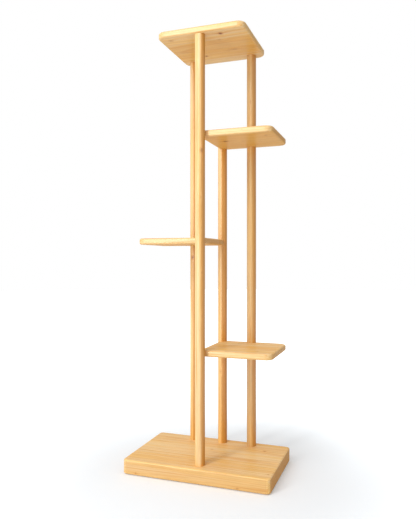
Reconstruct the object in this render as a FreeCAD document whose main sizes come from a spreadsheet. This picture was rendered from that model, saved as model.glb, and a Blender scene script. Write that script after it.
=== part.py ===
"""Tiered plant stand in lacquered pine: a thick base board, four round posts and four shelves.

One post stands at the front and three stand in a row along the back. The top shelf lies on three
of the posts. Three smaller shelves reach out sideways, two to the right and one to the left: each
is pinned to the back of the front post and hangs on the fronts of two rear posts, which stand in
notches in its back edge. Screws and pins are hidden from the front.

Frame: X to the right, Y to the back, Z up. The origin is on the floor, under the middle of the base.
All sizes are in millimetres.
"""
import FreeCAD
import Part
import Sketcher
import os

# Driving dimensions: name, value, meaning.
SIZES = [
    ("base_width", 406, "base board, left to right"),
    ("base_depth", 250, "base board, front to back"),
    ("base_thickness", 38, "base board, top to bottom"),
    ("base_corner", 12, "radius of the base board's upright corners"),
    ("base_edge", 4, "radius along the base board's top and bottom edges"),
    ("pad_diameter", 22, "felt pad under the base"),
    ("pad_thickness", 2, "felt pad, which lifts the base off the floor"),
    ("pad_inset", 24, "from the base's edges to a pad's centre"),
    ("post_diameter", 26.5, "every post"),
    ("post_chamfer", 0.6, "bevel on a post's two ends"),
    ("post_shift", 7, "post line, to the right of the base's middle"),
    ("front_post_inset", 35, "from the base's front edge to the front post's axis"),
    ("rear_post_inset", 25, "from the base's back edge to the rear posts' axes"),
    ("post_spacing", 88, "from the rear middle post to the rear posts beside it"),
    ("socket_depth", 15, "how deep the posts stand in the base"),
    ("shelf_thickness", 17, "every shelf"),
    ("outer_corner", 22, "radius of the shelves' free upright corners"),
    ("inner_corner", 6.5, "radius of the side shelves' upright corners at the posts"),
    ("shelf_edge", 5, "radius along the shelves' top and bottom edges"),
    ("top_width", 243, "top shelf, left to right"),
    ("top_shift", 2.5, "middle of the top shelf, to the right of the post line"),
    ("top_lip", 2.5, "how far the top shelf stands ahead of the front post"),
    ("top_underside", 1167, "floor to the underside of the top shelf"),
    ("upper_right_underside", 902, "floor to the underside of the upper right shelf"),
    ("middle_left_underside", 619, "floor to the underside of the middle left shelf"),
    ("lower_right_underside", 321, "floor to the underside of the lower right shelf"),
    ("shelf_reach", 190, "from the post line to a side shelf's outer end"),
    ("shelf_overlap", 7, "how far a side shelf runs on past the post line"),
    ("seat_depth", 2, "how deep the front post sits in a side shelf's front edge"),
    ("back_reveal", 3, "how far the rear posts stand proud of a side shelf's back edge"),
    ("fit_gap", 0.1, "radial play of a post, screw or pin in its hole"),
    ("end_gap", 1, "spare depth beyond the end of a screw or pin"),
    ("screw_diameter", 4.5, "every screw's shank"),
    ("screw_head", 9, "diameter of a screw's head"),
    ("head_height", 2.4, "height of a screw's head"),
    ("head_bevel", 0.8, "height of the bevel round a screw's head"),
    ("screw_point", 6, "length of a screw's point"),
    ("screw_tip", 0.75, "diameter at the very end of a screw's point"),
    ("drive_span", 4.5, "length of a cross slot in a screw's head"),
    ("drive_width", 1, "width of a cross slot in a screw's head"),
    ("drive_depth", 1.4, "depth of the cross slots in a screw's head"),
    ("head_sink", 1, "how far a screw's head lies below the wood's surface"),
    ("base_screw_length", 60, "screw up through the base into a post"),
    ("shelf_screw_length", 50, "screw through a rear post into a side shelf"),
    ("top_screw_length", 50, "screw down through the top shelf into a post"),
    ("plug_thickness", 4, "wooden plug over a screw's head in the top shelf"),
    ("pin_diameter", 6, "wooden pin between the front post and a side shelf"),
    ("pin_in_post", 10, "length of a pin inside the front post"),
    ("pin_in_shelf", 16, "length of a pin inside a side shelf"),
    ("pin_chamfer", 0.8, "bevel on a pin's two ends"),
]

doc = FreeCAD.newDocument("plant_stand")
sheet = doc.addObject("Spreadsheet::Sheet", "sizes")
for row, (alias, value, meaning) in enumerate(SIZES, start=1):
    sheet.set(f"A{row}", alias)
    sheet.set(f"B{row}", str(value))
    sheet.set(f"C{row}", meaning)
    sheet.setAlias(f"B{row}", alias)
doc.recompute()

# Lengths and places worked out from the sheet, as expressions.
POST_RADIUS = "(sizes.post_diameter / 2)"
HOLE_IN_WOOD = "(sizes.screw_diameter + 2 * sizes.fit_gap)"
PIN_HOLE = "(sizes.pin_diameter + 2 * sizes.fit_gap)"
POST_HOLE = "(sizes.post_diameter + 2 * sizes.fit_gap)"
HEAD_HOLE = "(sizes.screw_head + 2 * sizes.fit_gap)"
BASE_TOP = "(sizes.pad_thickness + sizes.base_thickness)"
SOCKET_FLOOR = f"({BASE_TOP} - sizes.socket_depth)"
FRONT_ROW = "(sizes.front_post_inset - sizes.base_depth / 2)"
REAR_ROW = "(sizes.base_depth / 2 - sizes.rear_post_inset)"
ROW_DISTANCE = "(sizes.base_depth - sizes.front_post_inset - sizes.rear_post_inset)"
HALF_SHELF = "(sizes.shelf_thickness / 2)"

# A sketch's lines are drawn about this large, before their constraints give them their real size.
DRAWN_SIZE = 20
# An edge whose box is smaller than this along an axis lies square to that axis.
FLAT = 0.001

# Axis of each post, and the height of its top.
POSTS = {
    "front_post": ("sizes.post_shift", FRONT_ROW, "sizes.top_underside"),
    "rear_left_post": ("(sizes.post_shift - sizes.post_spacing)", REAR_ROW, "sizes.top_underside"),
    "rear_middle_post": ("sizes.post_shift", REAR_ROW, "(sizes.upper_right_underside + sizes.shelf_thickness)"),
    "rear_right_post": ("(sizes.post_shift + sizes.post_spacing)", REAR_ROW, "sizes.top_underside"),
}

# Underside of each side shelf, the side that it reaches to, and the rear post at its outer part.
SIDE_SHELVES = {
    "upper_right_shelf": ("sizes.upper_right_underside", "right", "rear_right_post"),
    "middle_left_shelf": ("sizes.middle_left_underside", "left", "rear_left_post"),
    "lower_right_shelf": ("sizes.lower_right_underside", "right", "rear_right_post"),
}


def place(item, x, y, z):
    """Bind the place of an object to expressions."""
    for axis, where in (("x", x), ("y", y), ("z", z)):
        item.setExpression(f"Placement.Base.{axis}", where)


def new_body(name, x, y, z):
    """Start a piece that is cut and drilled from one blank."""
    body = doc.addObject("PartDesign::Body", name)
    body.Label = name
    place(body, x, y, z)
    return body


def sketch_on(body, name, role, x, y, z):
    """Lay a sketch on one of the body's own planes, moved by x and y in the plane and z out of it."""
    plane = next(item for item in body.Origin.OriginFeatures if item.Role == role)
    sketch = body.newObject("Sketcher::SketchObject", name)
    sketch.AttachmentSupport = [(plane, "")]
    sketch.MapMode = "FlatFace"
    for axis, where in (("x", x), ("y", y), ("z", z)):
        sketch.setExpression(f"AttachmentOffset.Base.{axis}", where)
    return sketch


def draw_circle(sketch, diameter):
    """Draw a circle round the sketch's origin."""
    sketch.addGeometry(Part.Circle(FreeCAD.Vector(0, 0, 0), FreeCAD.Vector(0, 0, 1), DRAWN_SIZE), False)
    sketch.addConstraint(Sketcher.Constraint("Coincident", 0, 3, -1, 1))
    size = sketch.addConstraint(Sketcher.Constraint("Diameter", 0, DRAWN_SIZE))
    sketch.renameConstraint(size, "across")
    sketch.setExpression("Constraints.across", diameter)


def draw_rectangle(sketch, width, depth):
    """Draw a rectangle from the sketch's origin to the right and up."""
    drawn = ((0, 0), (DRAWN_SIZE, 0), (DRAWN_SIZE, DRAWN_SIZE), (0, DRAWN_SIZE))
    corners = [FreeCAD.Vector(x, y, 0) for x, y in drawn]
    for start in range(4):
        sketch.addGeometry(Part.LineSegment(corners[start], corners[(start + 1) % 4]), False)
    for side in range(4):
        sketch.addConstraint(Sketcher.Constraint("Coincident", side, 2, (side + 1) % 4, 1))
    sketch.addConstraint(Sketcher.Constraint("Coincident", 0, 1, -1, 1))
    for side in (0, 2):
        sketch.addConstraint(Sketcher.Constraint("Horizontal", side))
    for side in (1, 3):
        sketch.addConstraint(Sketcher.Constraint("Vertical", side))
    across = sketch.addConstraint(Sketcher.Constraint("DistanceX", 0, 1, 0, 2, DRAWN_SIZE))
    sketch.renameConstraint(across, "width")
    sketch.setExpression("Constraints.width", width)
    along = sketch.addConstraint(Sketcher.Constraint("DistanceY", 1, 1, 1, 2, DRAWN_SIZE))
    sketch.renameConstraint(along, "depth")
    sketch.setExpression("Constraints.depth", depth)


def pad(body, sketch, length):
    """Raise the blank from its sketch."""
    feature = body.newObject("PartDesign::Pad", f"{body.Name}_blank")
    feature.Profile = sketch
    feature.setExpression("Length", length)
    sketch.Visibility = False
    doc.recompute()
    return feature


def pocket(body, sketch, depth, along_normal):
    """Cut a sketch into the body, and make sure that it took material away."""
    before = body.Shape.Volume
    feature = body.newObject("PartDesign::Pocket", f"{sketch.Name}_cut")
    feature.Profile = sketch
    feature.Reversed = along_normal
    feature.setExpression("Length", depth)
    sketch.Visibility = False
    doc.recompute()
    if not body.Shape.Volume < before:
        raise RuntimeError(f"{feature.Name} cuts nothing")
    return feature


def drill_down(body, name, x, y, top, diameter, depth):
    """Drill a hole downwards from the height top."""
    sketch = sketch_on(body, name, "XY_Plane", x, y, top)
    draw_circle(sketch, diameter)
    return pocket(body, sketch, depth, False)


def drill_up(body, name, x, y, bottom, diameter, depth):
    """Drill a hole upwards from the height bottom."""
    sketch = sketch_on(body, name, "XY_Plane", x, y, bottom)
    draw_circle(sketch, diameter)
    return pocket(body, sketch, depth, True)


def drill_forward(body, name, x, back, z, diameter, depth):
    """Drill a hole towards the front, from the place back along Y."""
    sketch = sketch_on(body, name, "XZ_Plane", x, z, f"-({back})")
    draw_circle(sketch, diameter)
    return pocket(body, sketch, depth, True)


def drill_back(body, name, x, front, z, diameter, depth):
    """Drill a hole towards the back, from the place front along Y."""
    sketch = sketch_on(body, name, "XZ_Plane", x, z, f"-({front})")
    draw_circle(sketch, diameter)
    return pocket(body, sketch, depth, False)


def edge_names(feature, wanted):
    """Name the edges of a feature whose box passes the test, which takes the edge's bound box."""
    feature_edges = enumerate(feature.Shape.Edges, start=1)
    return [f"Edge{number}" for number, edge in feature_edges if wanted(edge.BoundBox)]


def fillet(body, base, names, radius, name):
    """Round the named edges of the last feature."""
    feature = body.newObject("PartDesign::Fillet", name)
    feature.Base = (base, names)
    feature.setExpression("Radius", radius)
    doc.recompute()
    return feature


def is_upright(box):
    """Tell whether an edge stands upright."""
    return box.XLength < FLAT and box.YLength < FLAT


def round_board(body, blank, corners, edge_radius):
    """Round a board's upright corners, given as pairs of a test on X and a radius, then its edges."""
    last = blank
    for number, (at_this_end, radius) in enumerate(corners):
        names = edge_names(last, lambda box: is_upright(box) and at_this_end(box.Center.x))
        last = fillet(body, last, names, radius, f"{body.Name}_corners_{number}")
    names = edge_names(last, lambda box: box.ZLength < FLAT)
    return fillet(body, last, names, edge_radius, f"{body.Name}_edges")


def make_base():
    """The base board, with a socket and a sunk screw hole for each post. Its origin is its low corner."""
    body = new_body("base_board", "-sizes.base_width / 2", "-sizes.base_depth / 2", "sizes.pad_thickness")
    outline = sketch_on(body, "base_outline", "XY_Plane", "0", "0", "0")
    draw_rectangle(outline, "sizes.base_width", "sizes.base_depth")
    blank = pad(body, outline, "sizes.base_thickness")
    round_board(body, blank, [(lambda x: True, "sizes.base_corner")], "sizes.base_edge")
    for post, (x, y, top) in POSTS.items():
        across = f"({x} + sizes.base_width / 2)"
        along = f"({y} + sizes.base_depth / 2)"
        drill_down(body, f"{post}_socket", across, along, "sizes.base_thickness", POST_HOLE, "sizes.socket_depth")
        drill_up(body, f"{post}_screw_hole", across, along, "0", HOLE_IN_WOOD, "sizes.base_thickness")
        drill_up(body, f"{post}_head_hole", across, along, "0", HEAD_HOLE, "sizes.head_sink + sizes.head_height")
    return body


def shelves_on(post):
    """Name the side shelves that meet a post."""
    if post in ("front_post", "rear_middle_post"):
        reached = list(SIDE_SHELVES)
    else:
        reached = [shelf for shelf, (underside, side, rear) in SIDE_SHELVES.items() if rear == post]
    return reached


def make_post(name):
    """A turned post, with its end holes for the screws and its cross holes for the shelves."""
    x, y, top = POSTS[name]
    length = f"({top} - {SOCKET_FLOOR})"
    body = new_body(name, x, y, SOCKET_FLOOR)
    outline = sketch_on(body, f"{name}_outline", "XY_Plane", "0", "0", "0")
    draw_circle(outline, "sizes.post_diameter")
    blank = pad(body, outline, length)
    bevel = body.newObject("PartDesign::Chamfer", f"{name}_bevel")
    bevel.Base = (blank, edge_names(blank, lambda box: box.ZLength < FLAT))
    bevel.setExpression("Size", "sizes.post_chamfer")
    doc.recompute()
    web = "(sizes.base_thickness - sizes.socket_depth - sizes.head_sink)"
    foot_hole = f"(sizes.base_screw_length - {web} + sizes.end_gap)"
    drill_up(body, f"{name}_foot_hole", "0", "0", "0", HOLE_IN_WOOD, foot_hole)
    if top == "sizes.top_underside":
        cover = "(sizes.shelf_thickness - sizes.plug_thickness)"
        head_end_hole = f"(sizes.top_screw_length - {cover} + sizes.end_gap)"
        drill_down(body, f"{name}_top_hole", "0", "0", length, HOLE_IN_WOOD, head_end_hole)
    for shelf in shelves_on(name):
        height = f"({SIDE_SHELVES[shelf][0]} + {HALF_SHELF} - {SOCKET_FLOOR})"
        hole = f"{name}_{shelf}_hole"
        if name == "front_post":
            depth = "(sizes.pin_in_post + sizes.end_gap)"
            drill_forward(body, hole, "0", POST_RADIUS, height, PIN_HOLE, depth)
        else:
            sunk = "(sizes.head_sink + sizes.head_height)"
            drill_forward(body, hole, "0", POST_RADIUS, height, HOLE_IN_WOOD, "sizes.post_diameter")
            drill_forward(body, f"{hole}_head", "0", POST_RADIUS, height, HEAD_HOLE, sunk)
    return body


def cut_notch(body, name, x, y, back):
    """Cut a notch for a post through a shelf: a round hole that is open to the back edge."""
    radius = f"({POST_HOLE} / 2)"
    drill_down(body, f"{name}_round", x, y, "sizes.shelf_thickness", POST_HOLE, "sizes.shelf_thickness")
    left = f"({x} - {radius})"
    sketch = sketch_on(body, f"{name}_mouth", "XY_Plane", left, y, "sizes.shelf_thickness")
    draw_rectangle(sketch, POST_HOLE, f"({back} - {y} + {radius})")
    pocket(body, sketch, "sizes.shelf_thickness", False)


def make_side_shelf(name):
    """A side shelf, pinned to the front post and notched round two rear posts."""
    underside, side, outer_post = SIDE_SHELVES[name]
    width = "(sizes.shelf_overlap + sizes.shelf_reach)"
    depth = f"({ROW_DISTANCE} + sizes.seat_depth - sizes.back_reveal)"
    front_edge = f"({FRONT_ROW} + {POST_RADIUS} - sizes.seat_depth)"
    if side == "right":
        left_end = "(sizes.post_shift - sizes.shelf_overlap)"
    else:
        left_end = "(sizes.post_shift - sizes.shelf_reach)"
    body = new_body(name, left_end, front_edge, underside)
    outline = sketch_on(body, f"{name}_outline", "XY_Plane", "0", "0", "0")
    draw_rectangle(outline, width, depth)
    blank = pad(body, outline, "sizes.shelf_thickness")
    middle = blank.Shape.BoundBox.Center.x
    ends = {"right": lambda x: x > middle, "left": lambda x: x < middle}
    inner_side = "left" if side == "right" else "right"
    corners = [(ends[side], "sizes.outer_corner"), (ends[inner_side], "sizes.inner_corner")]
    round_board(body, blank, corners, "sizes.shelf_edge")
    rear_row = f"({REAR_ROW} - {front_edge})"
    for post in ("rear_middle_post", outer_post):
        across = f"({POSTS[post][0]} - {left_end})"
        cut_notch(body, f"{name}_{post}", across, rear_row, depth)
        reach = f"(sizes.shelf_screw_length - {POST_RADIUS} + sizes.head_sink + sizes.end_gap)"
        drill_forward(body, f"{name}_{post}_hole", across, rear_row, HALF_SHELF, HOLE_IN_WOOD, reach)
    across = f"({POSTS['front_post'][0]} - {left_end})"
    front_axis = f"({FRONT_ROW} - {front_edge})"
    thickness = "sizes.shelf_thickness"
    drill_down(body, f"{name}_seat", across, front_axis, thickness, POST_HOLE, thickness)
    pin_reach = f"(sizes.pin_in_shelf + {POST_RADIUS} + sizes.end_gap)"
    drill_back(body, f"{name}_pin_hole", across, front_axis, HALF_SHELF, PIN_HOLE, pin_reach)
    return body


def make_top_shelf():
    """The top shelf, which lies on the tops of three posts and has a plugged screw hole over each."""
    front_edge = f"({FRONT_ROW} - {POST_RADIUS} - sizes.top_lip)"
    left_end = "(sizes.post_shift + sizes.top_shift - sizes.top_width / 2)"
    body = new_body("top_shelf", left_end, front_edge, "sizes.top_underside")
    outline = sketch_on(body, "top_shelf_outline", "XY_Plane", "0", "0", "0")
    draw_rectangle(outline, "sizes.top_width", f"(sizes.base_depth / 2 - {front_edge})")
    blank = pad(body, outline, "sizes.shelf_thickness")
    round_board(body, blank, [(lambda x: True, "sizes.outer_corner")], "sizes.shelf_edge")
    thickness = "sizes.shelf_thickness"
    for post in posts_under_top():
        x, y, top = POSTS[post]
        across = f"({x} - {left_end})"
        along = f"({y} - {front_edge})"
        sunk = "(sizes.plug_thickness + sizes.head_height)"
        drill_down(body, f"top_{post}_hole", across, along, thickness, HOLE_IN_WOOD, thickness)
        drill_down(body, f"top_{post}_head", across, along, thickness, HEAD_HOLE, sunk)
    return body


def posts_under_top():
    """Name the posts that carry the top shelf."""
    return [post for post, (x, y, top) in POSTS.items() if top == "sizes.top_underside"]


def cylinder(name, diameter, length, start):
    """A round bar along Z from the height start."""
    bar = doc.addObject("Part::Cylinder", name)
    bar.setExpression("Radius", f"{diameter} / 2")
    bar.setExpression("Height", length)
    bar.setExpression("Placement.Base.z", start)
    return bar


def cone(name, first_diameter, last_diameter, length, start):
    """A tapered bar along Z from the height start."""
    bar = doc.addObject("Part::Cone", name)
    bar.setExpression("Radius1", f"{first_diameter} / 2")
    bar.setExpression("Radius2", f"{last_diameter} / 2")
    bar.setExpression("Height", length)
    bar.setExpression("Placement.Base.z", start)
    return bar


def fuse(name, pieces):
    """Join primitives into one solid."""
    joined = doc.addObject("Part::MultiFuse", name)
    joined.Shapes = pieces
    return joined


def turn(item, axis, angle):
    """Turn an object about its own origin."""
    item.Placement = FreeCAD.Placement(FreeCAD.Vector(0, 0, 0), FreeCAD.Rotation(axis, angle))


def make_screw(name, length, x, y, z, axis, angle):
    """A wood screw with a bevelled head and a cross drive, made along +Z from the top of its head."""
    bevelled = "(sizes.screw_head - 2 * sizes.head_bevel)"
    point = f"({length} - sizes.screw_point)"
    shank = f"({point} - sizes.head_height)"
    rim = "(sizes.head_height - sizes.head_bevel)"
    pieces = [
        cone(f"{name}_bevel", bevelled, "sizes.screw_head", "sizes.head_bevel", "0"),
        cylinder(f"{name}_rim", "sizes.screw_head", rim, "sizes.head_bevel"),
        cylinder(f"{name}_shank", "sizes.screw_diameter", shank, "sizes.head_height"),
        cone(f"{name}_point", "sizes.screw_diameter", "sizes.screw_tip", "sizes.screw_point", point),
    ]
    slots = []
    for side, (wide, deep) in enumerate((("drive_span", "drive_width"), ("drive_width", "drive_span"))):
        slot = doc.addObject("Part::Box", f"{name}_slot_{side}")
        slot.setExpression("Length", f"sizes.{wide}")
        slot.setExpression("Width", f"sizes.{deep}")
        slot.setExpression("Height", "sizes.drive_depth")
        place(slot, f"-{slot.Name}.Length / 2", f"-{slot.Name}.Width / 2", "0")
        slots.append(slot)
    screw = doc.addObject("Part::Cut", name)
    screw.Base = fuse(f"{name}_solid", pieces)
    screw.Tool = fuse(f"{name}_drive", slots)
    turn(screw, axis, angle)
    place(screw, x, y, z)
    return screw


def make_pin(name, x, y, z):
    """A wooden pin with bevelled ends, along +Y from its end in the front post."""
    narrow = "(sizes.pin_diameter - 2 * sizes.pin_chamfer)"
    length = "(sizes.pin_in_post + sizes.pin_in_shelf)"
    far_bevel = f"({length} - sizes.pin_chamfer)"
    pieces = [
        cone(f"{name}_near", narrow, "sizes.pin_diameter", "sizes.pin_chamfer", "0"),
        cylinder(f"{name}_bar", "sizes.pin_diameter", f"({length} - 2 * sizes.pin_chamfer)", "sizes.pin_chamfer"),
        cone(f"{name}_far", "sizes.pin_diameter", narrow, "sizes.pin_chamfer", far_bevel),
    ]
    pin = fuse(name, pieces)
    turn(pin, FreeCAD.Vector(1, 0, 0), -90)
    place(pin, x, y, z)
    return pin


def group(name, members):
    """Put identical pieces into one sub-part, as separate solids."""
    bundle = doc.addObject("Part::Compound", name)
    bundle.Label = name
    bundle.Links = members
    return bundle


def make_base_screws():
    """One screw up through the base into the foot of each post."""
    screws = []
    for post, (x, y, top) in POSTS.items():
        start = "(sizes.pad_thickness + sizes.head_sink)"
        name = f"base_screw_{post}"
        screws.append(make_screw(name, "sizes.base_screw_length", x, y, start, FreeCAD.Vector(1, 0, 0), 0))
    return group("base_screws", screws)


def make_shelf_screws():
    """Two screws for each side shelf, from behind through the rear posts."""
    screws = []
    back = f"({REAR_ROW} + {POST_RADIUS} - sizes.head_sink)"
    for shelf, (underside, side, outer_post) in SIDE_SHELVES.items():
        for post in ("rear_middle_post", outer_post):
            height = f"({underside} + {HALF_SHELF})"
            name = f"{shelf}_{post}_screw"
            x = POSTS[post][0]
            screws.append(make_screw(name, "sizes.shelf_screw_length", x, back, height, FreeCAD.Vector(1, 0, 0), 90))
    return group("shelf_screws", screws)


def make_top_screws():
    """One screw down through the top shelf into each post under it."""
    screws = []
    start = "(sizes.top_underside + sizes.shelf_thickness - sizes.plug_thickness)"
    for post in posts_under_top():
        x, y, top = POSTS[post]
        name = f"top_screw_{post}"
        screws.append(make_screw(name, "sizes.top_screw_length", x, y, start, FreeCAD.Vector(1, 0, 0), 180))
    return group("top_screws", screws)


def make_top_plugs():
    """Wooden plugs that lie flush in the top shelf, over its screws."""
    plugs = []
    start = "(sizes.top_underside + sizes.shelf_thickness - sizes.plug_thickness)"
    for post in posts_under_top():
        x, y, top = POSTS[post]
        plug = cylinder(f"plug_{post}", "sizes.screw_head", "sizes.plug_thickness", "0")
        place(plug, x, y, start)
        plugs.append(plug)
    return group("top_plugs", plugs)


def make_shelf_pins():
    """One wooden pin between the front post and each side shelf."""
    pins = []
    start = f"({FRONT_ROW} + {POST_RADIUS} - sizes.pin_in_post)"
    for shelf, (underside, side, outer_post) in SIDE_SHELVES.items():
        height = f"({underside} + {HALF_SHELF})"
        pins.append(make_pin(f"{shelf}_pin", POSTS["front_post"][0], start, height))
    return group("shelf_pins", pins)


def make_felt_pads():
    """Felt pads under the corners of the base."""
    pads = []
    for side, across in (("left", "-1"), ("right", "1")):
        for end, along in (("front", "-1"), ("back", "1")):
            felt = cylinder(f"pad_{end}_{side}", "sizes.pad_diameter", "sizes.pad_thickness", "0")
            x = f"{across} * (sizes.base_width / 2 - sizes.pad_inset)"
            y = f"{along} * (sizes.base_depth / 2 - sizes.pad_inset)"
            place(felt, x, y, "0")
            pads.append(felt)
    return group("felt_pads", pads)


parts = [make_base()]
parts += [make_post(name) for name in POSTS]
parts += [make_side_shelf(name) for name in SIDE_SHELVES]
parts.append(make_top_shelf())
parts += [make_base_screws(), make_shelf_screws(), make_top_screws()]
parts += [make_top_plugs(), make_shelf_pins(), make_felt_pads()]
doc.recompute()

for item in doc.Objects:
    if "Invalid" in item.State or "Error" in item.State:
        raise RuntimeError(f"{item.Label} failed: {item.State}")
for part in parts:
    if part.Shape.isNull() or not part.Shape.isValid() or not part.Shape.Solids:
        raise RuntimeError(f"{part.Label} has no valid solid")

os.makedirs("parts", exist_ok=True)
for part in parts:
    part.Shape.exportStep(f"parts/{part.Label}.step")
    box = part.Shape.BoundBox
    volume = part.Shape.Volume / 1000
    print(f"{part.Label:18s} {len(part.Shape.Solids)} solids {volume:9.2f} cm3  "
          f"x {box.XMin:.1f} {box.XMax:.1f}  y {box.YMin:.1f} {box.YMax:.1f}  z {box.ZMin:.1f} {box.ZMax:.1f}")
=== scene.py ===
# %% [markdown]
# # A tiered plant stand in lacquered pine
#
# The stand has a thick base board, four round posts and four shelves. Its construction is packed as
# a fixed frame, in metres, with X to the right, Y to the back and Z up. This lesson dresses that
# frame: it lights the stand, gives every board its own piece of pine, and models the felt pads and
# the screws, whose small forms the frame keeps plain.

# %% Load the frame
import bpy
import numpy as np
from math import pi, radians
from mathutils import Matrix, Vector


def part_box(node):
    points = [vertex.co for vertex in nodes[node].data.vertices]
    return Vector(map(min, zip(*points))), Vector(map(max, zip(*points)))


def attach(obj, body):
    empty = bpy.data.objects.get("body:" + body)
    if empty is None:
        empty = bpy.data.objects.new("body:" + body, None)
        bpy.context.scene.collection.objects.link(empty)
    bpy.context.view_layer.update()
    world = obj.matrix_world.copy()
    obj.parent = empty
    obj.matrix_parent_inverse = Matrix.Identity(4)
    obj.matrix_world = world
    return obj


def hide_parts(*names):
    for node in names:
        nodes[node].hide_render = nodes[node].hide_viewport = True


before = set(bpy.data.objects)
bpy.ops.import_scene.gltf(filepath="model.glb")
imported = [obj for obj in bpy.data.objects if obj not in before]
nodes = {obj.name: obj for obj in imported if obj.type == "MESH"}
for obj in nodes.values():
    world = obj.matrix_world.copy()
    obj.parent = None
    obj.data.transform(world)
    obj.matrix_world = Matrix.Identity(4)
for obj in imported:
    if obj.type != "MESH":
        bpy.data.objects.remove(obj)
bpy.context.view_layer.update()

# %% [markdown]
# ## The camera
#
# The stand is seen from about 1.5 m away, from a little right of its front and from half its height,
# so the lower boards show their tops and the upper ones their undersides. The camera looks level.
# That keeps the posts upright in the picture, where a camera that is tilted would make them lean
# together. It could also be aimed by a Track To constraint, but three plain numbers are easier to read.

# %% Camera
CAMERA_PLACE = (0.50697, -1.42546, 0.5778)
CAMERA_TURN = radians(19.68)  # to the left of straight ahead
LEVEL = radians(90)           # at no tilt a camera looks straight down
PICTURE_WIDTH = 416           # pixels
FOCAL_PIXELS = 544.02         # the lens, as a distance in picture pixels


def put_in_scene(name, data):
    """Make an object of a mesh, a lamp or a camera, and link it to the scene."""
    made = bpy.data.objects.new(name, data)
    bpy.context.scene.collection.objects.link(made)
    return made


camera = put_in_scene("camera", bpy.data.cameras.new("camera"))
camera.location = CAMERA_PLACE
camera.rotation_euler = (LEVEL, 0, CAMERA_TURN)
camera.data.sensor_fit = "HORIZONTAL"
camera.data.lens = camera.data.sensor_width * FOCAL_PIXELS / PICTURE_WIDTH
bpy.context.scene.camera = camera
print("Lens", round(camera.data.lens, 2), "mm")

# %% [markdown]
# ## Writing node trees as formulas
#
# Every finish below is a tree of shader nodes. Built by hand in the editor, such a tree is a picture.
# Built in code, it reads best as a formula. `Wires` holds one tree and has a method for each kind
# of node that is used here. A value that goes in may be a number or the output of another node, so
# the calls nest the way sums do.

# %% Wires
class Wires:
    """Adds nodes to one tree. Numbers set a socket and outputs are linked to it."""

    def __init__(self, tree):
        self.tree = tree

    def lead(self, value, socket):
        """Link an output to a socket, or set the socket to a number, a vector or a colour."""
        if isinstance(value, bpy.types.NodeSocket):
            self.tree.links.new(value, socket)
        else:
            socket.default_value = value

    def fill(self, node, inputs):
        """Fill a node's inputs, given by name or by place."""
        pairs = inputs.items() if isinstance(inputs, dict) else enumerate(inputs)
        for socket, value in pairs:
            self.lead(value, node.inputs[socket])

    def node(self, kind, inputs=(), **settings):
        """Add a node, set its options, then fill its inputs."""
        made = self.tree.nodes.new(kind)
        for name, value in settings.items():
            setattr(made, name, value)
        self.fill(made, inputs)
        return made

    def coordinate(self, kind="Object"):
        """Where the surface is, in metres, or with the kind "Normal", which way it faces."""
        return self.node("ShaderNodeTexCoord").outputs[kind]

    def math(self, operation, *values, clamp=False):
        """One step of arithmetic."""
        return self.node("ShaderNodeMath", values, operation=operation, use_clamp=clamp).outputs[0]

    def add(self, first, *others):
        """A sum of any number of values."""
        for other in others:
            first = self.math("ADD", first, other)
        return first

    def times(self, first, *others):
        """A product of any number of values."""
        for other in others:
            first = self.math("MULTIPLY", first, other)
        return first

    def spread(self, luck, amount, middle):
        """A place up to half the amount to either side of a middle, by luck from 0 to 1."""
        return self.math("MULTIPLY_ADD", self.math("SUBTRACT", luck, 0.5), amount, middle)

    def point(self, x, y, z):
        """A vector from three values."""
        return self.node("ShaderNodeCombineXYZ", (x, y, z)).outputs[0]

    def parts(self, vector):
        """The three values of a vector."""
        return self.node("ShaderNodeSeparateXYZ", (vector,)).outputs

    def vector(self, operation, *values):
        """One step of vector arithmetic, whose answer is a vector."""
        return self.node("ShaderNodeVectorMath", values, operation=operation).outputs["Vector"]

    def length(self, vector):
        """How long a vector is."""
        return self.node("ShaderNodeVectorMath", (vector,), operation="LENGTH").outputs["Value"]

    def noise(self, vector, detail=2, roughness=0.5, scale=1):
        """Soft noise about 0.5, with features about one unit apart at a scale of 1."""
        inputs = {"Vector": vector, "Scale": scale, "Detail": detail, "Roughness": roughness}
        return self.node("ShaderNodeTexNoise", inputs).outputs["Fac"]

    def noise_along(self, value, detail=1):
        """The same noise along one line."""
        inputs = {"W": value, "Scale": 1, "Detail": detail}
        return self.node("ShaderNodeTexNoise", inputs, noise_dimensions="1D").outputs["Fac"]

    def chance(self, value):
        """Three random numbers from 0 to 1 that belong to a whole number."""
        made = self.node("ShaderNodeTexWhiteNoise", {"W": value}, noise_dimensions="1D")
        return self.parts(made.outputs["Color"])

    def step(self, value, low, high, to_low=0, to_high=1):
        """A soft step: to_low below low, to_high above high, and an S-curve between them."""
        inputs = {"Value": value, "From Min": low, "From Max": high, "To Min": to_low, "To Max": to_high}
        return self.node("ShaderNodeMapRange", inputs, interpolation_type="SMOOTHSTEP").outputs["Result"]

    def mix(self, amount, first, second, blend="MIX"):
        """Two colours mixed, or one laid on the other."""
        made = self.node("ShaderNodeMix", data_type="RGBA", blend_type=blend)
        sockets = {socket.identifier: socket for socket in made.inputs}
        self.lead(amount, sockets["Factor_Float"])
        self.lead(first, sockets["A_Color"])
        self.lead(second, sockets["B_Color"])
        return next(socket for socket in made.outputs if socket.identifier == "Result_Color")

    def bump(self, height):
        """The normal of a surface with the given height in metres."""
        inputs = {"Strength": 1.0, "Distance": 1.0, "Height": height}
        return self.node("ShaderNodeBump", inputs).outputs["Normal"]


# %% [markdown]
# ## Groups and materials
#
# A pattern that many materials share is a node group: a small tree with named inputs and outputs,
# built once and placed in each material with its own values. It could be copied into every material
# instead, but then a change would have to be made in each. Each material starts with one
# Principled shader, which stays outside the groups.

# %% Groups and materials
SOCKETS = {float: "NodeSocketFloat", tuple: "NodeSocketVector"}


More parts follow.
